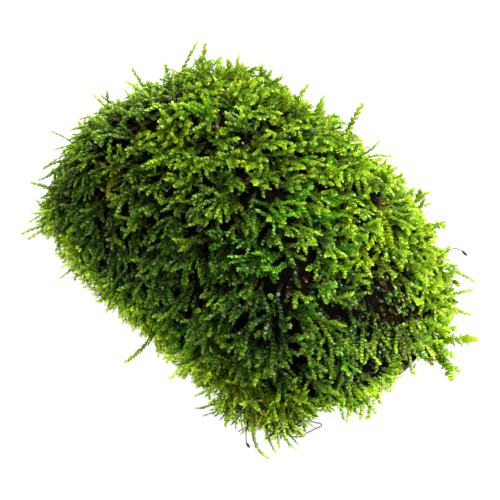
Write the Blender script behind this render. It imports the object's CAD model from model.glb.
"""Java moss grown over half a coconut shell, as it looks out of the water on a white table.

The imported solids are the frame: the shell and the moss stand where they stand. The moss is made of
leafy shoots, modelled once in a few lengths and copied by the thousand into joined meshes.
"""

from collections import namedtuple
import bpy
import numpy as np
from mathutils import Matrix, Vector, noise


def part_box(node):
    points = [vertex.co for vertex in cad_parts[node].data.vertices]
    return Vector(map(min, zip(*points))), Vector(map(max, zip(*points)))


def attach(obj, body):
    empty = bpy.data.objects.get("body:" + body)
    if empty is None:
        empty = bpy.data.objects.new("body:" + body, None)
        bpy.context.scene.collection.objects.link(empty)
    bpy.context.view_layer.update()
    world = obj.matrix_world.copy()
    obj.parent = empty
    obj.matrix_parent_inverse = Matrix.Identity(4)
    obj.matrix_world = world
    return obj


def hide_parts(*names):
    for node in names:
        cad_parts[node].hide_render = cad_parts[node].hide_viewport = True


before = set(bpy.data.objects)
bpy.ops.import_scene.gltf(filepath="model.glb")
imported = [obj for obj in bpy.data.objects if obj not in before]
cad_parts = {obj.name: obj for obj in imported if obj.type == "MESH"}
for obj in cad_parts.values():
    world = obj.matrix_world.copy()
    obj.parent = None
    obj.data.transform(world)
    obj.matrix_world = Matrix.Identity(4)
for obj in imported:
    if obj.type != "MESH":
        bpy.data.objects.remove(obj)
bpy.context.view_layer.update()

MM = 0.001
GOLDEN_ANGLE = np.pi * (3 - 5**0.5)

# How near a cut's points count as on its plane, and what keeps a vector's three noises apart.
CUT_THRESHOLD = 0.001 * MM
VECTOR_SHIFTS = (53.0, 71.0, 97.0)

# The shell, from the frame.
SHELL_LOW, SHELL_HIGH = (np.array(corner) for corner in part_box("coconut_shell"))
SHELL_CENTRE = np.array(((SHELL_LOW[0] + SHELL_HIGH[0]) / 2, (SHELL_LOW[1] + SHELL_HIGH[1]) / 2, 0))
SHELL_HALF = np.array((67.0, 40.5, 52.0)) * MM
SHELL_WALL = 4.0 * MM
SHELL_PLAN_POWER = 2.7
SHELL_SIDE_POWER = 1.95
SHELL_SIDES = (160, 72)
SHELL_GRAIN = 1.6 * MM
SHELL_BUMPS = 11 * MM

# The patterns' sizes, as a millimetre over how many it holds: the wood's fibres, crumbs of humus,
# the capsules' grain and the hairs' mottling.
FIBRE_LENGTH = MM / 0.42
FIBRE_STRETCH = 4
HUMUS_CRUMB = MM / 0.9
CAPSULE_GRAIN = MM / 1.5
HAIR_MOTTLE = MM / 0.8

# The moss to the tips of its shoots: its growth beyond the shell, at the ends where X, Y and Z are
# low and where they are high. The near flank, towards -Y, is straighter than the far one.
MOSS_GROWTH = np.array(((7.5, 5.0, 16.5), (3.5, 8.0, 16.5))) * MM
MOSS_LOW, MOSS_HIGH = SHELL_HALF + MOSS_GROWTH
MOSS_HALF = (MOSS_LOW + MOSS_HIGH) / 2
MOSS_PLAN_POWERS = (5.2, 3.2)
MOSS_SIDE_POWER = 1.9
MOSS_FALL = 0.075
MOSS_TAPER = 0.045
MOSS_DEPTH = 7.0 * MM
HEM_HEIGHT = 0.4 * MM
HEM_NOTCH_CENTRE = SHELL_CENTRE + np.array((73.5, -8.0, -0.2)) * MM
HEM_NOTCH_HALF = np.array((26.0, 31.0, 4.5)) * MM

# The felt: its least thickness, its gap to the shell, its lumps and crumbs, the sides of the balls
# that it is made and cut with, and its faces at the least if no cut has failed.
LEAST_FELT = 0.9 * MM
FELT_GAP = 0.4 * MM
FELT_LUMPS = 4.5 * MM
FELT_CRUMBS = 1.4 * MM
FELT_SIDES = (220, 110)
CORE_SIDES = (96, 48)
NOTCH_SIDES = (48, 24)
LEAST_FELT_FACES = 5000

# The two places at the near end where no shoot hides the rim: middle and half size.
RIM_GAPS = {
    "corner_gap": ((63, -27, 1), (9, 7, 5)),
    "end_gap": ((72, 7, 0.5), (9, 8, 4)),
}

# The shoots: their leaves and stems, and the lengths that they are modelled in. The leaves' spread
# in degrees and their size change along the shoot.
LEAF_LENGTH = 1.45 * MM
LEAF_WIDTH = 1.15 * MM
LEAF_SPACING = 0.26 * MM
STEM_RADIUS = 0.15 * MM
SHOOT_FLATNESS = 0.75
SHOOT_LENGTHS = np.array((4.5, 7.0, 10.0, 15.0)) * MM
VARIANTS = 4
LEAF_SPREAD = ((0, 0.85, 1), (46, 42, 24))
LEAF_SIZES = ((0, 0.2, 0.8, 1), (0.6, 1, 1, 0.8))

# Where side shoots leave their parent, as a share of its length: on most, and on strays. How
# often one does, and its angle in degrees.
CHILDREN = (0.3, 0.5, 0.7)
STRAY_CHILDREN = (0.45, 0.65)
CHILD_CHANCE = 0.75
CHILD_ANGLES = (32, 58)

# The map's V holds a shoot's hue, one of these bands, and its tone within the band.
HUES = 6
EMERALD, GREEN, YELLOW, OLIVE, PALE, DEAD = range(HUES)

# The shares of the six hues in living, old and dead growth.
LIVING = (0.24, 0.4, 0.22, 0.14, 0.0, 0.0)
OLD = (0.2, 0.3, 0.05, 0.35, 0.0, 0.1)
FALLEN = (0, 0, 0, 0, 0, 1.0)

# The layers of shoots: how many are sown, their shortest and longest in mm, how far their tips
# stand up as a share of the way from the felt to the moss form, their tone's middle and spread
# from shade (0) to light (1), how wide they are beside the modelled ones, and their hues.
Layer = namedtuple("Layer", "count lengths reach tones width hues")
LAYERS = {
    "canopy": Layer(2200, (7.5, 13.0), (0.65, 1.1), (0.55, 0.2), 1, LIVING),
    "understory": Layer(3500, (4.0, 8.0), (0.15, 0.6), (0.12, 0.12), 1, OLD),
    "litter": Layer(280, (3.0, 7.0), (0.2, 0.8), (0.5, 0.3), 0.6, FALLEN),
    "outliers": Layer(40, (10.0, 14.0), (1.5, 2.0), (0.8, 0.2), 1, LIVING),
    "corner_clump": Layer(60, (12.0, 17.0), (1.4, 2.4), (0.3, 0.2), 0.8, LIVING),
    "fringe": Layer(900, (5.0, 9.0), (0.8, 1.4), (0.7, 0.15), 0.85, LIVING),
    "humus_bits": Layer(18, (2.5, 5.5), (0.3, 0.9), (0.7, 0.3), 0.5, FALLEN),
    "humus_crumbs": Layer(340, (1.5, 3.0), (0.1, 0.5), (0.1, 0.12), 0.6, OLD),
}
SEED = 3

# The cells round and up of the grid that shoots are sown by, and the height under which they get
# shorter, slimmer and straighter.
SOWING_CELLS = (240, 80)
HEM_BAND = 14 * MM

# Under the hem shoots are pressed flat: the share of their depth that stays, and its limit.
PRESSED = 0.06
PRESSED_DEPTH = 4 * MM

# The six meshes of shoots, by their bearing from the near end round by the back.
REGIONS = (
    "moss_near_end",
    "moss_back_flank",
    "moss_back_corner",
    "moss_far_end",
    "moss_front_flank",
    "moss_front_corner",
)

# Where the layers of the hem root, in degrees: bearings from and to, rises from and to.
HEM_ARCS = {
    "corner_clump": ((314, 328), (0, 12)),
    "fringe": ((0, 360), (0, 9)),
}
CLUMP_LEAN = (0.6, 0, 0)

# Where the layers on the bare humus lie: their middle, and how far they scatter about it.
HUMUS_MIDDLE = (65, 0, 20)
HUMUS_SPREADS = {"humus_bits": (4, 7, 7), "humus_crumbs": (6, 12, 13)}

# The share of the canopy and of the understory that is missing where the moss is oldest.
CANOPY_LOSS = 0.2
UNDERSTORY_LOSS = 0.6

# How far apart tufts, turns in the shoots' lie, lighter places and changes of hue are.
TUFT_SPACING = 8.5 * MM
LIE_SPACING = 15 * MM
LIGHT_SPACING = 20 * MM
HUE_SPACING = 17 * MM

# The nearness to a thin patch from which on a side shoot that reaches it is left out.
BARE_NEARNESS = 0.5

# Where the moss is thin and the humus under it shows: place from the shell's centre, reach.
THIN_PATCHES = {
    "near_end_humus_top": ((55, 5, 38), 6),
    "near_end_humus": ((61, 3, 30), 9.5),
    "near_end_humus_left": ((65, -4, 22), 6),
    "near_end_streak": ((58, -17, 32), 5),
    "crest_pit": ((31, -18, 54), 5),
    "crest_pit_long": ((22, -24, 56), 4),
    "flank_pit": ((46, -31, 37), 5),
    "flank_hollow": ((19, -34, 40), 6),
    "flank_hollow_low": ((32, -37, 32), 5),
    "near_shoulder_pit": ((45, -22, 40), 4),
}

# Stray shoots that stand out of the outline, in mm from the shell's centre: root, tip, width.
STRAYS = {
    "crest_blade": ((-44, 8, 51), (-45, 19, 61), 1),
    "crest_needle": ((-43, 9, 52), (-41, 20, 59), 0.55),
    "crest_thumb": ((-31, 9, 59), (-35, 14, 67), 1.3),
    "crest_bud": ((-45, 6, 50), (-49, 8, 55), 1.3),
    "crest_twig": ((-17, 12, 62), (-19, 16, 66), 1.2),
    "crest_tip": ((-19, 13, 61), (-22, 17, 67), 1),
    "back_thread": ((-17, 22, 55), (-22, 26, 62), 0.4),
    "back_bud": ((-3, 24, 53), (-4, 31, 59), 1.3),
    "back_bud_low": ((5, 25, 52), (3, 31, 58), 1.2),
    "back_blade": ((15, 27, 49), (14, 37, 58), 1.6),
    "back_stub": ((32, 27, 44), (34, 33, 46), 1.3),
    "back_clump": ((43, 30, 35), (44, 37, 40), 1.6),
    "end_crest": ((47, 35, 24), (48, 42, 28), 1.4),
    "end_arch": ((54, 32, 18), (65, 40, 14), 0.91),
    "end_spike": ((58, 33, 6), (63, 42, 9), 1),
    "end_arch_low": ((61, 28, 9), (69, 34, 7), 0.91),
    "end_branch": ((66, 20, 3), (74, 32, 1.5), 2.2),
    "end_branch_bud": ((68, 23, 2), (66, 30, 2.5), 1.4),
    "end_hem_branch": ((67, 18, 3), (80.5, 12.5, 1.2), 2.2),
    "end_hem_fork": ((74, 15.5, 2), (79.5, 17, 1.3), 1.8),
    "end_hem_bud": ((70, 18.5, 2), (74, 20.5, 1.5), 1.9),
    "end_hem_thumb": ((66, 12, 3), (71.5, 13.5, 1), 1.6),
    "near_hem_branch": ((64, -19, 5), (69, -18, 1), 1.3),
    "near_hem_thumb": ((66, -15, 5), (74, -14, 1), 1.3),
    "near_hem_bud": ((66, -10, 5), (72, -10, 1), 1.2),
    "corner_hook": ((60, -45.5, 2), (66, -49, 1), 0.9),
    "corner_twig": ((54, -46, 3), (58, -47.5, 1.5), 0.6),
    "corner_spike": ((57, -42, 2), (66, -46.5, 1), 0.7),
    "corner_stub": ((58, -41, 3), (65, -44.5, 1), 0.7),
    "corner_sickle": ((59, -38, 2.5), (69, -41, 1), 0.6),
    "corner_thumb": ((57, -37, 4), (65.3, -35.7, 1), 1.3),
    "corner_side": ((43, -46, 3), (48.5, -51, 1), 1.1),
    "corner_needle": ((45, -44, 3), (51, -49, 1), 0.5),
    "corner_needle_low": ((48, -44, 3), (53, -48, 1), 0.5),
    "side_straggler": ((4, -43, 2), (8, -57, 1), 1.2),
    "side_stub": ((-18, -41, 1), (-20, -47, 1), 1.2),
    "side_thread": ((-38, -40, 1), (-37, -50, 1), 0.5),
    "far_fork": ((-58, -36, 5), (-64, -47, 2), 1),
    "far_fork_low": ((-56, -37, 6), (-60, -47, 2), 0.91),
    "far_side": ((-63, -32, 14), (-70, -37, 16), 0.91),
    "far_crest": ((-46, -3, 50), (-53, -3, 56), 1),
    "far_crest_low": ((-50, -17, 46), (-56, -17, 50), 0.91),
    "far_shoulder": ((-58, -26, 32), (-66, -29, 36), 0.6),
}
STRAY_ROOT = 4.0 * MM

# How far the strays that lie on the table turn to the left on their way, in radians.
TURNS = {
    "corner_hook": 1.6,
    "corner_spike": 0.4,
    "corner_sickle": 0.9,
    "corner_thumb": -0.5,
    "side_straggler": -0.5,
}
BRANCHED_STRAYS = ("back_clump", "end_crest", "near_hem_branch", "near_hem_thumb")

# Where the moss is freshest, light and yellow green: place from the shell's centre, reach.
FRESH_PATCHES = {
    "back_corner": ((64, 38, 18), 36),
    "near_corner": ((64, -46, 4), 8),
    "far_crest": ((-48, 14, 52), 16),
    "far_end": ((-64, -14, 30), 22),
    "back_flank": ((28, 42, 34), 34),
    "near_hem": ((67, -12, 6), 8),
    "end_shoulder": ((50, 12, 46), 16),
    "far_shoulder": ((-51, -24, 42), 10),
}

# Where it is a deep emerald.
LUSH_PATCHES = {
    "near_shoulder": ((42, -18, 46), 16),
    "crest": ((33, -4, 56), 10),
}

# Where the pale shoots of the hem are khaki instead.
KHAKI_PATCHES = {
    "near_corner": ((50, -41, 8), 14),
}

# Where it is oldest and darkest.
SHADED_PATCHES = {
    "near_flank": ((-8, -38, 32), 24),
    "near_flank_right": ((22, -36, 32), 20),
    "near_end": ((60, -8, 30), 18),
}

# Where the shoots are long and slim and lie close, combed down towards the far end.
COMBED_PATCHES = {
    "far_crest": ((-50, 2, 50), 22),
    "far_shoulder": ((-62, -14, 34), 22),
}

# Hairs and a bent dead stem: the points that each runs through, in mm from the shell's centre.
THREADS = {
    "pale_hair_far_crest": ((-53, -21, 31), (-56, -24, 34), (-64, -28, 37), (-66, -29, 37.5)),
    "pale_hair_far_end": ((-51, -16, 38), (-53, -18, 42), (-60, -19, 46.5), (-62, -19, 48)),
    "pale_hair_side": ((-32, -40, 1), (-34, -43, 0.6), (-36, -47, 0.6), (-39, -49, 0.6)),
    "pale_hair_back": ((-14, 18, 55), (-15, 21, 58), (-17, 23, 62), (-19, 24, 64)),
    "dead_stem": (
        (57, -33, 3),
        (60, -32, 0.8),
        (64, -29.6, 0.6),
        (66, -28.8, 0.6),
        (65.9, -31, 0.6),
        (65.2, -35.2, 0.6),
    ),
}
THREAD_RADII = {"pale": 0.12 * MM, "dead": 0.15 * MM}

# Spore stalks: the points that each runs through, in mm from the shell's centre, and where its
# capsule ends.
STALKS = {
    "end_stalk": (
        ((55, 24, 23), (57, 29, 26.5), (59, 33.2, 28.7), (60.9, 34.7, 28.3)),
        (62.6, 35.5, 26.8),
    ),
    "end_stalk_short": (((50, 24, 30), (52.2, 26.2, 32)), (54.2, 28.6, 33.2)),
    "corner_stalk": (
        ((49, -40, 6), (52, -45, 4), (55.5, -49, 2.6), (57.3, -50.5, 2)),
        (59, -50.7, 1.4),
    ),
}
STALK_RADIUS = 0.14 * MM
CAPSULE_RADIUS = 0.42 * MM

# The view, fitted to the photograph's outline of the dome and its rim.
CAMERA_TARGET = np.array((14.7, -10.8, 25.0)) * MM
CAMERA_BEARING = np.radians(48.3)
CAMERA_RISE = np.radians(40.8)
CAMERA_DISTANCE = 380.0 * MM
CAMERA_LENS = 88.0

# The setting. The floor is so large that no camera height shows its edge.
ROOM_LIGHT = 0.6
FLOOR_GLOW = 0.92
FLOOR_SIZE = 10000 * MM

# The lights: place and side in mm, power in watts.
LIGHTS = {
    "back_right_softbox": ((190, 440, 420), 350, 21),
    "overhead_softbox": ((0, 60, 620), 300, 13),
    "front_left_card": ((-150, -480, 40), 260, 5),
    "front_right_card": ((480, -60, 40), 260, 6.5),
}


def linear(code):
    """An sRGB hex colour as linear values with full alpha."""
    parts = [int(code[i : i + 2], 16) / 255 for i in (1, 3, 5)]
    return tuple(p / 12.92 if p <= 0.04045 else ((p + 0.055) / 1.055) ** 2.4 for p in parts) + (1,)


def add_node(tree, kind, settings=(), links=()):
    """A node with its settings and input links. A setting may also be a socket's name or number."""
    node = tree.nodes.new(kind)
    for name, value in dict(settings).items():
        if isinstance(name, str) and hasattr(node, name):
            setattr(node, name, value)
        else:
            node.inputs[name].default_value = value
    for name, source in dict(links).items():
        tree.links.new(source, node.inputs[name])
    return node


def new_material(name):
    material = bpy.data.materials.new(name)
    material.use_nodes = True
    material.node_tree.nodes.clear()
    return material, material.node_tree


def ramp(tree, source, stops, interpolation="LINEAR"):
    """A colour ramp from (place, hex colour) stops."""
    node = add_node(tree, "ShaderNodeValToRGB", links={0: source})
    node.color_ramp.interpolation = interpolation
    elements = node.color_ramp.elements
    elements.remove(elements[1])
    elements[0].position = stops[0][0]
    elements[0].color = linear(stops[0][1])
    for place, colour in stops[1:]:
        elements.new(place).color = linear(colour)
    return node.outputs["Color"]


def mix_colours(tree, blend, factor, first, second):
    """Two colours mixed; the factor is a number or a socket."""
    node = tree.nodes.new("ShaderNodeMix")
    node.data_type = "RGBA"
    node.blend_type = blend
    if isinstance(factor, float):
        node.inputs["Factor"].default_value = factor
    else:
        tree.links.new(factor, node.inputs["Factor"])
    colour_a, colour_b = (socket for socket in node.inputs if socket.type == "RGBA")
    tree.links.new(first, colour_a)
    tree.links.new(second, colour_b)
    return next(socket for socket in node.outputs if socket.type == "RGBA")


def output(tree, surface):
    add_node(tree, "ShaderNodeOutputMaterial", links={"Surface": surface})


def mottled_material(name, noise_settings, stops, finish, bump=None, stretch=None):
    """A material whose colour, and bump if it has one, follow one noise on Object coordinates."""
    material, tree = new_material(name)
    place = add_node(tree, "ShaderNodeTexCoord").outputs["Object"]
    if stretch:
        scale = {"Scale": (1, stretch, stretch)}
        place = add_node(tree, "ShaderNodeMapping", scale, {"Vector": place}).outputs["Vector"]
    mottle = add_node(tree, "ShaderNodeTexNoise", noise_settings, {"Vector": place}).outputs["Fac"]
    links = {"Base Color": ramp(tree, mottle, stops)}
    if bump:
        links["Normal"] = add_node(tree, "ShaderNodeBump", bump, {"Height": mottle}).outputs["Normal"]
    output(tree, add_node(tree, "ShaderNodeBsdfPrincipled", finish, links).outputs["BSDF"])
    return material


# Shapes shared by the shell and the moss


def dome(directions, low, high, powers, side_power, fall=0.0, taper=0.0):
    """Points where rays from the base centre leave a rounded dome, and the normals there.

    Its reach is given where X, Y and Z are low and where they are high, and its plan's power
    for the near flank, towards -Y, and for the far one. It falls and widens towards +X.
    """
    half = np.where(directions < 0, low, high)
    plan_power = np.where(directions[:, 1] < 0, *powers)

    def shares_of_reach(points):
        x, y, z = np.abs(points / half).T
        return x, y, z, np.maximum((x**plan_power + y**plan_power) ** (1 / plan_power), 1e-6)

    _, _, z, plan = shares_of_reach(directions)
    points = directions * ((plan**side_power + z**side_power) ** (-1 / side_power))[:, None]
    x, y, z, plan = shares_of_reach(points)
    across = plan ** (side_power - plan_power)
    x, y = across * x ** (plan_power - 1), across * y ** (plan_power - 1)
    slopes = np.stack((x, y, z ** (side_power - 1)), axis=1) / half * np.where(points < 0, -1, 1)
    rise = 1 - fall * points[:, 0] / half[:, 0]
    widen = 1 + taper * points[:, 0] / half[:, 0]
    slopes[:, 0] += slopes[:, 2] * points[:, 2] * fall / (half[:, 0] * rise)
    slopes[:, 0] -= slopes[:, 1] * points[:, 1] * taper / (half[:, 0] * widen)
    slopes[:, 1] /= widen
    slopes[:, 2] /= rise
    points[:, 1] *= widen
    points[:, 2] *= rise
    return points + SHELL_CENTRE, unit(slopes)


def unit(vectors):
    return vectors / np.maximum(np.linalg.norm(vectors, axis=-1, keepdims=True), 1e-9)


def square_to(axes, vectors):
    """Unit vectors along what is left of each vector once its part along its axis is taken off."""
    return unit(vectors - axes * (vectors * axes).sum(1, keepdims=True))


def moss_surface(directions, inset=0.0):
    low, high = MOSS_LOW - inset, MOSS_HIGH - inset
    return dome(directions, low, high, MOSS_PLAN_POWERS, MOSS_SIDE_POWER, MOSS_FALL, MOSS_TAPER)


def shell_surface(directions, grow=0.0):
    half = SHELL_HALF + grow
    return dome(directions, half, half, (SHELL_PLAN_POWER, SHELL_PLAN_POWER), SHELL_SIDE_POWER)


def felt_surface(directions):
    """The felt's surface, its normals, and how thick the shoots stand on it up to the moss form."""
    outer, normals = moss_surface(directions)
    inner, least = moss_surface(directions, MOSS_DEPTH)[0], shell_surface(directions, LEAST_FELT)[0]
    farther = ((inner - SHELL_CENTRE) ** 2).sum(1) > ((least - SHELL_CENTRE) ** 2).sum(1)
    inner = np.where(farther[:, None], inner, least)
    return inner, normals, ((outer - inner) * normals).sum(1)


def noise_at(points, spacing, shift=0.0):
    """Smooth noise from -1 to 1 at each point."""
    scaled = points / spacing + shift
    return np.array([noise.noise(Vector(p)) for p in scaled])


def noise_vectors(points, spacing):
    """Three smooth noises at each point. Blender's own noise_vector differs from run to run."""
    return np.stack([noise_at(points, spacing, shift) for shift in VECTOR_SHIFTS], axis=1)


def deselect_all():
    bpy.ops.object.select_all(action="DESELECT")


def mesh_points(mesh):
    points = np.empty(len(mesh.vertices) * 3)
    mesh.vertices.foreach_get("co", points)
    return points.reshape(-1, 3)


def ball(name, half, sides, place):
    """A UV sphere added as a primitive, its points moved by a function of their directions."""
    deselect_all()
    bpy.ops.mesh.primitive_uv_sphere_add(segments=sides[0], ring_count=sides[1], radius=1)
    thing = bpy.context.active_object
    thing.name = name
    points = place(mesh_points(thing.data) * half)
    thing.data.vertices.foreach_set("co", points.ravel())
    thing.data.update()
    return thing


def cut_off_below(height, fill):
    """Bisects the active object at a height and clears what is under it."""
    bpy.ops.object.mode_set(mode="EDIT")
    bpy.ops.mesh.select_all(action="SELECT")
    bpy.ops.mesh.bisect(
        plane_co=(0, 0, height),
        plane_no=(0, 0, 1),
        use_fill=fill,
        clear_inner=True,
        threshold=CUT_THRESHOLD,
    )
    bpy.ops.object.mode_set(mode="OBJECT")


def apply_modifier(thing, kind, **settings):
    bpy.context.view_layer.objects.active = thing
    modifier = thing.modifiers.new(kind.lower(), kind)
    for name, value in settings.items():
        setattr(modifier, name, value)
    bpy.ops.object.modifier_apply(modifier=modifier.name)


def finish_piece(thing, material, node="moss_mat"):
    """Gives a piece its material, its body and the node that it stands for."""
    thing.data.materials.clear()
    thing.data.materials.append(material)
    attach(thing, "root")
    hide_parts(node)


# The coconut shell


def coconut_wood():
    """Coconut shell, sawn and long under water: hard, dark, fibrous wood with a wet gloss."""
    return mottled_material(
        "wet_coconut_wood",
        {"Scale": 1 / FIBRE_LENGTH, "Detail": 6.0, "Roughness": 0.65},
        ((0.3, "#0A0604"), (0.52, "#1B0F08"), (0.72, "#38200F")),
        {"Roughness": 0.6, "Specular IOR Level": 0.2},
        bump={"Strength": 0.5, "Distance": 0.4 * MM},
        stretch=FIBRE_STRETCH,
    )


def make_shell(material):
    """The half shell: a dome thickened inwards, sawn flat, its outside roughened by fibres."""

    def place(directions):
        points, normals = shell_surface(directions)
        along = points * np.array((1 / FIBRE_STRETCH, 1, 1))
        rough = noise_at(along, SHELL_GRAIN) * 0.12 * MM + noise_at(points, SHELL_BUMPS) * 0.35 * MM
        return points + normals * rough[:, None]

    shell = ball("coconut_half_shell", SHELL_HALF, SHELL_SIDES, place)
    cut_off_below(-SHELL_WALL, fill=False)
    apply_modifier(shell, "SOLIDIFY", thickness=SHELL_WALL, offset=-1, use_even_offset=True)
    cut_off_below(0, fill=True)
    shell.data.shade_smooth()
    shell.data.set_sharp_from_angle(angle=np.radians(50))
    finish_piece(shell, material, node="coconut_shell")


# The felt of dead stems and humus under the shoots


def moss_felt_material():
    """The mat's inside: black-brown humus and dead stems, soaked, with a few rusty bits."""
    humus = ((0.35, "#030302"), (0.5, "#050403"), (0.64, "#0B0804"))
    rust = ((0.75, "#181009"), (0.85, "#3A2614"))
    return mottled_material(
        "humus_and_dead_stems",
        {"Scale": 1 / HUMUS_CRUMB, "Detail": 5.0, "Roughness": 0.7},
        humus + rust,
        {"Roughness": 0.9, "Specular IOR Level": 0.0},
        bump={"Strength": 0.8, "Distance": 0.6 * MM},
    )


def make_felt(material):
    """A lumpy dome hollowed to fit over the shell, trimmed at the hem, notched at the near end."""

    def place(directions):
        points, normals, _ = felt_surface(directions)
        lumps = noise_at(points, FELT_LUMPS) * 0.8 + noise_at(points, FELT_CRUMBS) * 0.7 + 0.3
        return points + normals * (lumps * MM)[:, None]

    def place_core(directions):
        return shell_surface(directions, FELT_GAP)[0]

    def place_notch(points):
        return points + HEM_NOTCH_CENTRE

    felt = ball("moss_felt", MOSS_HALF, FELT_SIDES, place)
    cut_off_below(HEM_HEIGHT, fill=True)
    core = ball("core", SHELL_HALF, CORE_SIDES, place_core)
    notch = ball("notch", HEM_NOTCH_HALF, NOTCH_SIDES, place_notch)
    for cutter in (core, notch):
        apply_modifier(felt, "BOOLEAN", operation="DIFFERENCE", solver="EXACT", object=cutter)
        bpy.data.objects.remove(cutter)
    if len(felt.data.polygons) < LEAST_FELT_FACES:
        raise RuntimeError("the felt was lost in a cut")
    felt.data.shade_smooth()
    felt.data.set_sharp_from_angle(angle=np.radians(60))
    finish_piece(felt, material)


# The leafy shoots


def model_leaf():
    """One leaf, modelled once: a broad blade along +Z, folded inwards about its midrib."""
    deselect_all()
    bpy.ops.mesh.primitive_circle_add(vertices=4, radius=1, fill_type="NGON")
    leaf = bpy.context.active_object
    bpy.ops.object.mode_set(mode="EDIT")
    bpy.ops.mesh.quads_convert_to_tris(ngon_method="BEAUTY")
    bpy.ops.object.mode_set(mode="OBJECT")
    faces = np.array([list(face.vertices) for face in leaf.data.polygons])
    bpy.data.objects.remove(leaf)
    base, tip = (0, 0, 0), (-0.06, 0, 1)
    side, other_side = (-0.12, 0.5, 0.55), (-0.12, -0.5, 0.55)
    return np.array((base, side, tip, other_side)), faces


def model_stem(length):
    """A three-sided stem that tapers to its tip, with one ring half way."""
    deselect_all()
    bpy.ops.mesh.primitive_cone_add(
        vertices=3,
        radius1=STEM_RADIUS,
        radius2=STEM_RADIUS / 4,
        depth=length,
        end_fill_type="NOTHING",
        location=(0, 0, length / 2),
    )
    stem = bpy.context.active_object
    bpy.ops.object.transform_apply(location=True, rotation=True, scale=True)
    bpy.ops.object.mode_set(mode="EDIT")
    bpy.ops.mesh.select_all(action="SELECT")
    bpy.ops.mesh.bisect(plane_co=(0, 0, length / 2), plane_no=(0, 0, 1))
    bpy.ops.mesh.select_all(action="SELECT")
    bpy.ops.mesh.quads_convert_to_tris()
    bpy.ops.object.mode_set(mode="OBJECT")
    places = mesh_points(stem.data)
    faces = np.array([list(face.vertices) for face in stem.data.polygons])
    bpy.data.objects.remove(stem)
    return places, faces


def model_shoot(length, leaf, rng):
    """A leafy shoot: points, faces, and each point's age from 0 at the root to 1 at the tip.

    The leaves stand round the stem at the golden angle, spread wide below and closed to a bud
    at the tip, and the whole shoot is pressed a little flat.
    """
    leaf_points, leaf_faces = leaf
    stem_points, stem_faces = model_stem(length)
    points, faces = [stem_points], [stem_faces]
    ages = [stem_points[:, 2] / length * 0.6]
    count = int(length / LEAF_SPACING)
    for number in range(count):
        along = (number + 0.6) / count
        turn = number * GOLDEN_ANGLE + rng.normal(0, 0.15)
        spread = np.radians(np.interp(along, *LEAF_SPREAD) + rng.normal(0, 8))
        size = np.interp(along, *LEAF_SIZES) * rng.uniform(0.85, 1.1)
        out = np.array((np.cos(turn), np.sin(turn), 0))
        across = np.array((-np.sin(turn), np.cos(turn), 0))
        axis = np.cos(spread) * np.array((0, 0, 1)) + np.sin(spread) * out
        face_out = np.cos(spread) * out - np.sin(spread) * np.array((0, 0, 1))
        x, y, z = leaf_points.T
        placed = (
            np.outer(x * LEAF_LENGTH * size, face_out)
            + np.outer(y * LEAF_WIDTH * size, across)
            + np.outer(z * LEAF_LENGTH * size, axis)
            + np.array((0, 0, along * length * 0.93))
        )
        faces.append(leaf_faces + sum(len(p) for p in points))
        points.append(placed)
        age = along * 0.86 + 0.26 * (leaf_points[:, 2] - 0.4) + rng.normal(0, 0.05)
        ages.append(np.clip(age, 0, 1))
    points = np.concatenate(points)
    points[:, 0] *= SHOOT_FLATNESS
    return points, np.concatenate(faces), np.concatenate(ages)


def sow_everywhere(layer, rng):
    """Directions that spread evenly over the moss: a fine grid's cells, drawn by their area."""
    count = LAYERS[layer].count
    columns, rows = SOWING_CELLS
    bearings = np.linspace(0, 2 * np.pi, columns + 1)
    rises = np.linspace(0, np.pi / 2, rows + 1)
    bearing, rise = (grid.ravel() for grid in np.meshgrid(bearings, rises))
    grid = moss_surface(round_dome(bearing, rise) * MOSS_HALF)[0].reshape(rows + 1, columns + 1, 3)
    diagonal = grid[1:, 1:] - grid[:-1, :-1]
    other = grid[1:, :-1] - grid[:-1, 1:]
    area = np.linalg.norm(np.cross(diagonal, other), axis=2).ravel()
    share = np.cumsum(area) / area.sum()
    picks = np.searchsorted(share, (np.arange(count) + rng.random(count)) / count)
    row, column = np.divmod(np.minimum(picks, len(area) - 1), columns)
    bearing = bearings[column] + rng.random(count) * (bearings[1] - bearings[0])
    rise = rises[row] + rng.random(count) * (rises[1] - rises[0])
    return round_dome(bearing, rise) * MOSS_HALF


def sow_at_hem(layer, rng):
    """Unit directions low on the mat, within a layer's arc of the hem."""
    bearings, rises = HEM_ARCS[layer]
    bearing = np.radians(rng.uniform(*bearings, LAYERS[layer].count))
    rise = np.radians(rng.uniform(*rises, LAYERS[layer].count))
    return round_dome(bearing, rise)


def sow_on_humus(layer, rng):
    """Directions that scatter about the middle of the bare humus."""
    return rng.normal(HUMUS_MIDDLE, HUMUS_SPREADS[layer], (LAYERS[layer].count, 3)) * MM


def nearness(points, patches):
    """How near each point is to a patch, from 1 well inside its reach to 0 a third beyond it."""
    level = np.zeros(len(points))
    for place, reach in patches.values():
        away = np.linalg.norm(points - SHELL_CENTRE - np.array(place) * MM, axis=1)
        level = np.maximum(level, np.clip(1.6 - 1.2 * away / (reach * MM), 0, 1))
    return level


def within(points, centre, half):
    return (((points - centre) / half) ** 2).sum(axis=1) < 1


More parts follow.
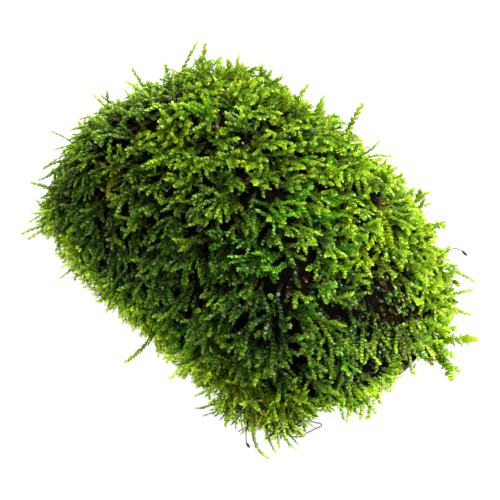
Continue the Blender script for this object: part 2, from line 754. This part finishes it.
def choose_hues(points, rng, shares):
    """A hue band for each shoot, in patches and at random.

    Fresh shoots are green or yellow green, lush ones emerald, those low on the hem pale or khaki.
    """
    patch = 0.5 + 0.55 * noise_at(points, HUE_SPACING, 31.0)
    chance = np.clip(0.55 * patch + 0.45 * rng.random(len(points)), 0, 0.999)
    hues = np.searchsorted(np.cumsum(shares), chance)
    fresh = (rng.random(len(points)) < fresh_growth(points)) & (hues != DEAD)
    hues = np.where(fresh, rng.choice((GREEN, YELLOW), len(points)), hues)
    lush = (rng.random(len(points)) < 0.6 * nearness(points, LUSH_PATCHES)) & (hues != DEAD)
    hues = np.where(lush, EMERALD, hues)
    near_side = np.interp(points[:, 1] / MM, (-30, 0), (0.95, 0.4))
    draw = rng.random(len(points))
    chance = near_side * np.interp(points[:, 2] / MM, (5, 11), (1, 0))
    pale = (draw < chance) & (hues != DEAD)
    khaki = pale & (draw < 0.75 * chance * nearness(points, KHAKI_PATCHES))
    return np.where(khaki, OLIVE, np.where(pale, PALE, hues))


def grow_layer(rng, name, directions, keep=1.0, clumping=0.9, thinned=0.93, stray=0.45):
    """A layer's single shoots on the felt, as arrays of what places each one.

    keep is the share that grows on even ground, and clumping how much that share and the lengths
    swell and shrink in tufts. thinned is the share that is missing in a thin patch, and stray how
    far a shoot's lie departs from its neighbours'.
    """
    layer = LAYERS[name]
    roots, normals, thick = felt_surface(directions)
    clump = noise_at(roots, TUFT_SPACING, 11.0)
    chance = np.clip(keep + clumping * clump, 0.12, 1)
    kept = rng.random(len(roots)) < chance
    roots, normals, clump, thick = roots[kept], normals[kept], clump[kept], thick[kept]
    count = len(roots)
    height = np.clip(roots[:, 2] / HEM_BAND, 0, 1)
    combed = nearness(roots, COMBED_PATCHES)
    wander = 0.75 * noise_vectors(roots, LIE_SPACING) + rng.normal(0, stray, (count, 3))
    hang = np.array((0.22, 0, -1)) + wander * (1 - 0.6 * combed)[:, None]
    hang[:, 0] -= 0.5 * combed
    hang[:, 2] *= height
    heading = square_to(normals, hang)
    length = rng.uniform(*layer.lengths, count) * MM * (1 + 0.3 * clump) * (0.8 + 0.2 * height)
    length *= 1 + 0.3 * combed
    stand = thick * (1 - 0.1 * combed) * rng.uniform(*layer.reach, count) / (0.9 * length)
    lean = np.arccos(np.clip(stand, 0.1, 0.95))
    lit = noise_at(roots, LIGHT_SPACING, 5.0)
    width = rng.uniform(0.85, 1.2, count) * (1 - 0.3 * combed) * (0.65 + 0.35 * height)
    curl = rng.normal(0.6, 0.6, count) * (0.3 + 0.7 * height) * (1 - 0.6 * combed) + 0.7 * combed
    tone = rng.normal(*layer.tones, count) + 0.2 * lit + 0.15 * clump + 0.35 * fresh_growth(roots)
    shoots = {
        "root": roots,
        "upright": np.cos(lean)[:, None] * normals + np.sin(lean)[:, None] * heading,
        "bend": np.cos(lean)[:, None] * heading - np.sin(lean)[:, None] * normals,
        "length": length,
        "width": width * layer.width,
        "curl": curl,
        "tone": np.clip(tone, 0, 1),
        "hue": choose_hues(roots, rng, layer.hues),
        "home": roots,
    }
    missing = np.maximum(nearness(roots, THIN_PATCHES), nearness(tips_of(shoots), THIN_PATCHES))
    return subset(shoots, rng.random(count) >= thinned * missing)


def thin_in_shade(shoots, share, rng):
    """Leaves out a share of the shoots where the moss is oldest, which opens dark pockets there."""
    shade = np.clip(-fresh_growth(shoots["root"]), 0, 1)
    return subset(shoots, rng.random(len(shade)) >= share * shade)


def subset(shoots, kept):
    return {key: value[kept] for key, value in shoots.items()}


def tips_of(shoots):
    out, up, _ = arc(shoots["length"], shoots["curl"], 1.0)
    return shoots["root"] + shoots["bend"] * out[:, None] + shoots["upright"] * up[:, None]


def round_dome(bearing, rise):
    """Unit directions from bearings and rises in radians."""
    level = np.cos(rise)
    return np.stack((np.cos(bearing) * level, np.sin(bearing) * level, np.sin(rise)), 1)


def fresh_growth(points):
    """How fresh the shoots are: 1 at the hem and in fresh patches, to -1.5 on the near flank."""
    height = points[:, 2] / MM
    fresh = np.interp(height, (3, 13), (1, 0))
    near_side = np.interp(points[:, 1] / MM, (-30, 15), (1, 0))
    shade = near_side * np.interp(height, (10, 20, 45, 62), (0, 1, 1, 0.3))
    fresh = np.maximum(fresh, nearness(points, FRESH_PATCHES))
    shade = np.maximum(shade, nearness(points, SHADED_PATCHES))
    return fresh - (1 - fresh) * shade * np.interp(shade, (0.9, 1), (1, 1.5))


def grow_strays(rng):
    """The shoots that stand out of the outline, each on an arc from its root to its tip."""
    rows = list(STRAYS.values())
    count = len(rows)
    roots, tips = (np.array([row[end] for row in rows]) * MM + SHELL_CENTRE for end in (0, 1))
    inside = felt_surface(roots - SHELL_CENTRE)[0]
    roots = (inside + roots - unit(tips - roots) * STRAY_ROOT) / 2
    curl = rng.uniform(0.4, 0.8, count)
    chord = unit(tips - roots)
    down = np.array((0, 0, -1)) + 0.4 * rng.normal(0, 1, (count, 3))
    turns = np.array([TURNS.get(name, 0.0) for name in STRAYS])
    left = np.cross((0, 0, 1), chord) * np.sign(turns)[:, None]
    down = np.where(turns[:, None] == 0, down, left)
    curl = np.where(turns == 0, curl, np.abs(turns))
    down = square_to(chord, down)
    half_turn = curl[:, None] / 2
    return {
        "root": roots,
        "upright": np.cos(half_turn) * chord - np.sin(half_turn) * down,
        "bend": np.cos(half_turn) * down + np.sin(half_turn) * chord,
        "length": np.linalg.norm(tips - roots, axis=1) * (curl / 2) / np.sin(curl / 2),
        "width": np.array([row[2] for row in rows]),
        "curl": curl,
        "tone": rng.uniform(0.7, 1.0, count),
        "hue": rng.choice((GREEN, YELLOW), count),
        "home": roots,
    }


def arc(length, curl, along):
    """Distance out and up of a point along a shoot that curls towards +X, and its turn there."""
    curl = np.where(np.abs(curl) < 0.05, 0.05, curl)
    turn = curl * along
    radius = length / curl
    return radius * (1 - np.cos(turn)), radius * np.sin(turn), turn


def branch_off(parents, rng, places=CHILDREN):
    """Side shoots, which leave their parent to the left or to the right at shares of its length."""
    layers = []
    for place in places:
        chosen = rng.random(len(parents["root"])) < CHILD_CHANCE
        p = subset(parents, chosen)
        count = len(p["root"])
        along = np.clip(place + rng.uniform(-0.07, 0.07, count), 0, 1)
        out, up, turn = arc(p["length"], p["curl"], along)
        root = p["root"] + p["bend"] * out[:, None] + p["upright"] * up[:, None]
        ahead = p["bend"] * np.sin(turn)[:, None] + p["upright"] * np.cos(turn)[:, None]
        outward = p["bend"] * np.cos(turn)[:, None] - p["upright"] * np.sin(turn)[:, None]
        side = np.cross(p["upright"], p["bend"]) * rng.choice((-1, 1), count)[:, None]
        angle = np.radians(rng.uniform(*CHILD_ANGLES, count))[:, None]
        tilt = rng.normal(-0.12, 0.25, count)[:, None]
        upright = unit(np.cos(angle) * ahead + np.sin(angle) * side + tilt * outward)
        bend = square_to(upright, outward)
        layers.append(
            {
                "root": root,
                "upright": upright,
                "bend": bend,
                "length": p["length"] * (1.05 - along) * rng.uniform(0.75, 1.15, count),
                "width": p["width"] * rng.uniform(0.8, 1.0, count),
                "curl": rng.normal(0.4, 0.5, count),
                "tone": np.clip(p["tone"] + rng.normal(0.03, 0.08, count), 0, 1),
                "hue": p["hue"],
                "home": p["home"],
            }
        )
    return {key: np.concatenate([layer[key] for layer in layers]) for key in layers[0]}


def copy_shoots(shoots, templates):
    """Bends, turns and places a copy of a template for each shoot, as joined points and faces."""
    all_points, all_faces, all_ages, all_tones = [], [], [], []
    total = 0
    fits = np.abs(shoots["length"][:, None] - SHOOT_LENGTHS[None]).argmin(axis=1)
    variant = np.arange(len(fits)) % VARIANTS
    for size, template_length in enumerate(SHOOT_LENGTHS):
        for kind in range(VARIANTS):
            chosen = np.flatnonzero((fits == size) & (variant == kind))
            if not len(chosen):
                continue
            points, faces, ages = templates[size][kind]
            s = subset(shoots, chosen)
            along = points[None, :, 2] / template_length
            out, up, turn = arc(s["length"][:, None], s["curl"][:, None], along)
            thick = points[None, :, 0] * s["width"][:, None]
            wide = points[None, :, 1] * s["width"][:, None]
            side = np.cross(s["upright"], s["bend"])
            placed = (
                s["root"][:, None]
                + (out + thick * np.cos(turn))[..., None] * s["bend"][:, None]
                + wide[..., None] * side[:, None]
                + (up - thick * np.sin(turn))[..., None] * s["upright"][:, None]
            )
            count = len(chosen)
            offsets = total + np.arange(count) * len(points)
            all_points.append(placed.reshape(-1, 3))
            all_faces.append((faces[None] + offsets[:, None, None]).reshape(-1, 3))
            all_ages.append(np.tile(ages, count))
            all_tones.append(np.repeat((s["hue"] + 0.04 + 0.92 * s["tone"]) / HUES, len(points)))
            total += count * len(points)
    return tuple(np.concatenate(part) for part in (all_points, all_faces, all_ages, all_tones))


def joined_mesh(name, points, faces, ages, tones):
    """One mesh of many copies, with its age and tone as a UV map, pressed flat where it is low."""
    low = points[:, 2] < HEM_HEIGHT
    points[low, 2] = HEM_HEIGHT + PRESSED * (points[low, 2] - HEM_HEIGHT).clip(-PRESSED_DEPTH, 0)
    mesh = bpy.data.meshes.new(name)
    mesh.vertices.add(len(points))
    mesh.vertices.foreach_set("co", points.ravel())
    mesh.loops.add(faces.size)
    mesh.loops.foreach_set("vertex_index", faces.ravel())
    mesh.polygons.add(len(faces))
    mesh.polygons.foreach_set("loop_start", np.arange(0, faces.size, 3))
    mesh.update(calc_edges=True)
    uv = mesh.uv_layers.new(name="OFBake")
    corners = np.stack((0.02 + 0.96 * ages, tones), axis=1)[faces.ravel()]
    uv.data.foreach_set("uv", corners.ravel())
    thing = bpy.data.objects.new(name, mesh)
    bpy.context.scene.collection.objects.link(thing)
    return thing


def moss_leaf_material():
    """Java moss leaves, one cell thick and wet: they let light through and shine a little.

    The map's U is the age along the shoot, from the dull root to the bright tip. Its V is the hue
    band, and within the band the shoot's tone, from the green of the shade to that of the light.
    """
    material, tree = new_material("wet_java_moss_leaf")
    uv = add_node(tree, "ShaderNodeUVMap", {"uv_map": "OFBake"}).outputs["UV"]
    parts = add_node(tree, "ShaderNodeSeparateXYZ", links={0: uv}).outputs
    age, band = parts["X"], parts["Y"]
    bands = add_node(
        tree, "ShaderNodeMath", {"operation": "MULTIPLY", 1: HUES}, {0: band}
    ).outputs[0]
    tone = add_node(tree, "ShaderNodeMath", {"operation": "FRACT"}, {0: bands}).outputs[0]
    shaded = ramp(tree, age, ((0, "#0C1107"), (0.35, "#142407"), (0.72, "#24440A"), (1, "#486E17")))
    lit = ramp(tree, age, ((0, "#34440C"), (0.35, "#587C10"), (0.72, "#7EA212"), (1, "#A2BC34")))
    green = mix_colours(tree, "MIX", tone, shaded, lit)
    tints = (
        (EMERALD / HUES, "#BEEE96"),
        (GREEN / HUES, "#FFFFFF"),
        (YELLOW / HUES, "#FFF0A8"),
        (OLIVE / HUES, "#E8BC90"),
    )
    tint = ramp(tree, band, tints, "CONSTANT")
    tinted = mix_colours(tree, "MULTIPLY", 1.0, green, tint)
    young = ramp(tree, age, ((0, "#507818"), (0.35, "#92B026"), (0.72, "#A6BE34"), (1, "#BCD048")))
    pale = mix_colours(tree, "MIX", tone, lit, young)
    is_pale = add_node(
        tree, "ShaderNodeMath", {"operation": "GREATER_THAN", 1: PALE / HUES}, {0: band}
    ).outputs[0]
    living = mix_colours(tree, "MIX", is_pale, tinted, pale)
    dead = ramp(tree, age, ((0, "#120A05"), (0.5, "#28180B"), (0.8, "#4C3018"), (1, "#86582A")))
    is_dead = add_node(
        tree, "ShaderNodeMath", {"operation": "GREATER_THAN", 1: DEAD / HUES}, {0: band}
    ).outputs[0]
    colour = mix_colours(tree, "MIX", is_dead, living, dead)
    shader = add_node(
        tree,
        "ShaderNodeBsdfPrincipled",
        {
            "Roughness": 0.45,
            "Specular IOR Level": 0.15,
            "Coat Weight": 0.07,
            "Coat Roughness": 0.1,
        },
        {"Base Color": colour},
    )
    through = add_node(tree, "ShaderNodeBsdfTranslucent", links={"Color": colour})
    both = add_node(
        tree,
        "ShaderNodeMixShader",
        {0: 0.42},
        {1: shader.outputs["BSDF"], 2: through.outputs["BSDF"]},
    )
    output(tree, both.outputs["Shader"])
    return material


def clear_of_gaps(shoots):
    """The shoots that don't root in the hem's notch, nor root in a rim gap or hang into it."""
    kept = ~within(shoots["root"], HEM_NOTCH_CENTRE, HEM_NOTCH_HALF)
    for place, half in RIM_GAPS.values():
        for points in (tips_of(shoots), shoots["root"]):
            kept &= ~within(points, SHELL_CENTRE + np.array(place) * MM, np.array(half) * MM)
    return subset(shoots, kept)


def grow_moss(rng):
    """All the shoots of the mat, layer by layer, as one set of arrays."""
    canopy = grow_layer(rng, "canopy", sow_everywhere("canopy", rng), keep=0.85)
    under = grow_layer(rng, "understory", sow_everywhere("understory", rng), thinned=0.7)
    canopy = thin_in_shade(canopy, CANOPY_LOSS, rng)
    under = thin_in_shade(under, UNDERSTORY_LOSS, rng)
    litter = grow_layer(rng, "litter", sow_everywhere("litter", rng), thinned=0)
    outliers = grow_layer(rng, "outliers", sow_everywhere("outliers", rng))
    clump = grow_layer(rng, "corner_clump", sow_at_hem("corner_clump", rng), clumping=0)
    fringe = grow_layer(rng, "fringe", sow_at_hem("fringe", rng) * MOSS_HALF, clumping=0.4)
    canopy, under, litter, outliers, clump, fringe = (
        clear_of_gaps(layer) for layer in (canopy, under, litter, outliers, clump, fringe)
    )
    clump["upright"] = unit(clump["upright"] + np.array(CLUMP_LEAN))
    clump["bend"] = square_to(clump["upright"], clump["bend"])
    bits = grow_layer(rng, "humus_bits", sow_on_humus("humus_bits", rng), thinned=0, stray=2.0)
    crumbs = grow_layer(rng, "humus_crumbs", sow_on_humus("humus_crumbs", rng), thinned=0, stray=2.5)
    strays = grow_strays(rng)
    branched = subset(strays, np.isin(list(STRAYS), BRANCHED_STRAYS))
    branches = clear_of_gaps(branch_off(canopy, rng))
    branches = subset(branches, nearness(tips_of(branches), THIN_PATCHES) < BARE_NEARNESS)
    layers = (
        canopy,
        branches,
        under,
        litter,
        outliers,
        fringe,
        bits,
        crumbs,
        clump,
        branch_off(clump, rng),
        strays,
        branch_off(branched, rng, STRAY_CHILDREN),
    )
    return {key: np.concatenate([layer[key] for layer in layers]) for key in canopy}


def make_moss(material):
    """The shoots as meshes, split by bearing into pieces of like size."""
    rng = np.random.default_rng(SEED)
    leaf = model_leaf()
    templates = [
        [model_shoot(length, leaf, rng) for _ in range(VARIANTS)] for length in SHOOT_LENGTHS
    ]
    shoots = grow_moss(rng)
    from_centre = shoots["home"] - SHELL_CENTRE
    bearing = np.arctan2(from_centre[:, 1] / MOSS_HALF[1], from_centre[:, 0] / MOSS_HALF[0])
    order = (bearing / (2 * np.pi) + 1 / 12) % 1
    for number, name in enumerate(REGIONS):
        inside = (order >= number / len(REGIONS)) & (order < (number + 1) / len(REGIONS))
        thing = joined_mesh(name, *copy_shoots(subset(shoots, inside), templates))
        finish_piece(thing, material)


# The spore stalks, the dead stem and the pale hairs


def stalk_material():
    """Ripe java moss stalks and capsules, or a dead stem: hard, smooth, red-brown to black."""
    return mottled_material(
        "ripe_spore_capsule",
        {"Scale": 1 / CAPSULE_GRAIN, "Detail": 3.0},
        ((0.35, "#080403"), (0.6, "#1C0B06"), (0.75, "#3E1E10")),
        {"Roughness": 0.5, "Specular IOR Level": 0.15},
    )


def dry_hair_material():
    """Dry rhizoids: bleached, thin and dull, so they show pale grey-green on white."""
    return mottled_material(
        "bleached_rhizoid",
        {"Scale": 1 / HAIR_MOTTLE, "Detail": 2.0},
        ((0.35, "#8C9468"), (0.65, "#B8B894")),
        {"Roughness": 0.7},
    )


def model_thread(name, points, radius):
    """A thin round mesh along a smooth curve through points in mm from the shell's centre."""
    deselect_all()
    data = bpy.data.curves.new(name, "CURVE")
    data.dimensions = "3D"
    data.bevel_depth = radius
    data.bevel_resolution = 1
    data.resolution_u = 8
    data.use_fill_caps = True
    line = data.splines.new("BEZIER")
    line.bezier_points.add(len(points) - 1)
    for knot, place in zip(line.bezier_points, points):
        knot.co = Vector(place) * MM + Vector(SHELL_CENTRE)
        knot.handle_left_type = knot.handle_right_type = "AUTO"
    thread = bpy.data.objects.new(name, data)
    bpy.context.scene.collection.objects.link(thread)
    thread.select_set(True)
    bpy.context.view_layer.objects.active = thread
    bpy.ops.object.convert(target="MESH")
    thread.data.shade_smooth()
    return thread


def make_stalk(name, points, capsule_end, material):
    """A stalk along a smooth curve, and the egg-shaped capsule that hangs from its end."""
    stalk = model_thread(name, points, STALK_RADIUS)
    neck, end = (Vector(place) * MM + Vector(SHELL_CENTRE) for place in (points[-1], capsule_end))
    bpy.ops.mesh.primitive_uv_sphere_add(segments=12, ring_count=8, radius=1)
    capsule = bpy.context.active_object
    capsule.scale = (CAPSULE_RADIUS, CAPSULE_RADIUS, (end - neck).length / 2)
    capsule.rotation_euler = (end - neck).to_track_quat("Z", "Y").to_euler()
    capsule.location = (neck + end) / 2
    bpy.ops.object.transform_apply(location=True, rotation=True, scale=True)
    capsule.data.shade_smooth()
    stalk.select_set(True)
    bpy.context.view_layer.objects.active = stalk
    bpy.ops.object.join()
    finish_piece(stalk, material)


def make_stalks(material):
    for name, (points, capsule_end) in STALKS.items():
        make_stalk(f"spore_{name}", points, capsule_end, material)


def make_threads(materials):
    """The pale hairs and the dead stem, each of the material that its name starts with."""
    for name, points in THREADS.items():
        kind = name.split("_")[0]
        thread = model_thread(name, points, THREAD_RADII[kind])
        finish_piece(thread, materials[kind])


# The setting


def white_table():
    """A matt white table top. It glows a little, so that it reads as white as a lit backdrop."""
    material, tree = new_material("white_table")
    shader = add_node(
        tree,
        "ShaderNodeBsdfPrincipled",
        {
            "Base Color": linear("#404040"),
            "Roughness": 0.4,
            "Specular IOR Level": 0.3,
            "Emission Color": (1, 1, 1, 1),
            "Emission Strength": FLOOR_GLOW,
        },
    )
    output(tree, shader.outputs["BSDF"])
    return material


def make_stage():
    """A pale table, a white room and soft lights, the brighter ones behind the moss."""
    deselect_all()
    bpy.ops.mesh.primitive_plane_add(size=FLOOR_SIZE)
    floor = bpy.context.active_object
    floor.name = "floor"
    floor.data.materials.append(white_table())

    world = bpy.data.worlds.new("white_room")
    world.use_nodes = True
    background = world.node_tree.nodes["Background"]
    background.inputs["Color"].default_value = (1, 1, 1, 1)
    background.inputs["Strength"].default_value = ROOM_LIGHT
    bpy.context.scene.world = world

    for name, (place, size, power) in LIGHTS.items():
        add_light(name, place, size, power)


def add_light(name, place, size, power):
    data = bpy.data.lights.new(name, "AREA")
    data.shape = "SQUARE"
    data.size = size * MM
    data.energy = power
    light = bpy.data.objects.new(name, data)
    light.location = Vector(place) * MM
    light.rotation_euler = (-light.location).to_track_quat("-Z", "Y").to_euler()
    bpy.context.scene.collection.objects.link(light)


def make_camera():
    """The photograph's view: from above the near corner, at arm's length."""
    back = Vector(
        (
            np.sin(CAMERA_BEARING) * np.cos(CAMERA_RISE),
            -np.cos(CAMERA_BEARING) * np.cos(CAMERA_RISE),
            np.sin(CAMERA_RISE),
        )
    )
    data = bpy.data.cameras.new("camera")
    data.lens = CAMERA_LENS
    data.clip_start = 10 * MM
    camera = bpy.data.objects.new("camera", data)
    camera.location = Vector(CAMERA_TARGET) + back * CAMERA_DISTANCE
    camera.rotation_euler = back.to_track_quat("Z", "Y").to_euler()
    bpy.context.scene.collection.objects.link(camera)
    bpy.context.scene.camera = camera


make_camera()
make_stage()
make_shell(coconut_wood())
make_felt(moss_felt_material())
make_moss(moss_leaf_material())
ripe_capsule = stalk_material()
make_stalks(ripe_capsule)
make_threads({"pale": dry_hair_material(), "dead": ripe_capsule})
bpy.context.scene.view_settings.view_transform = "Standard"
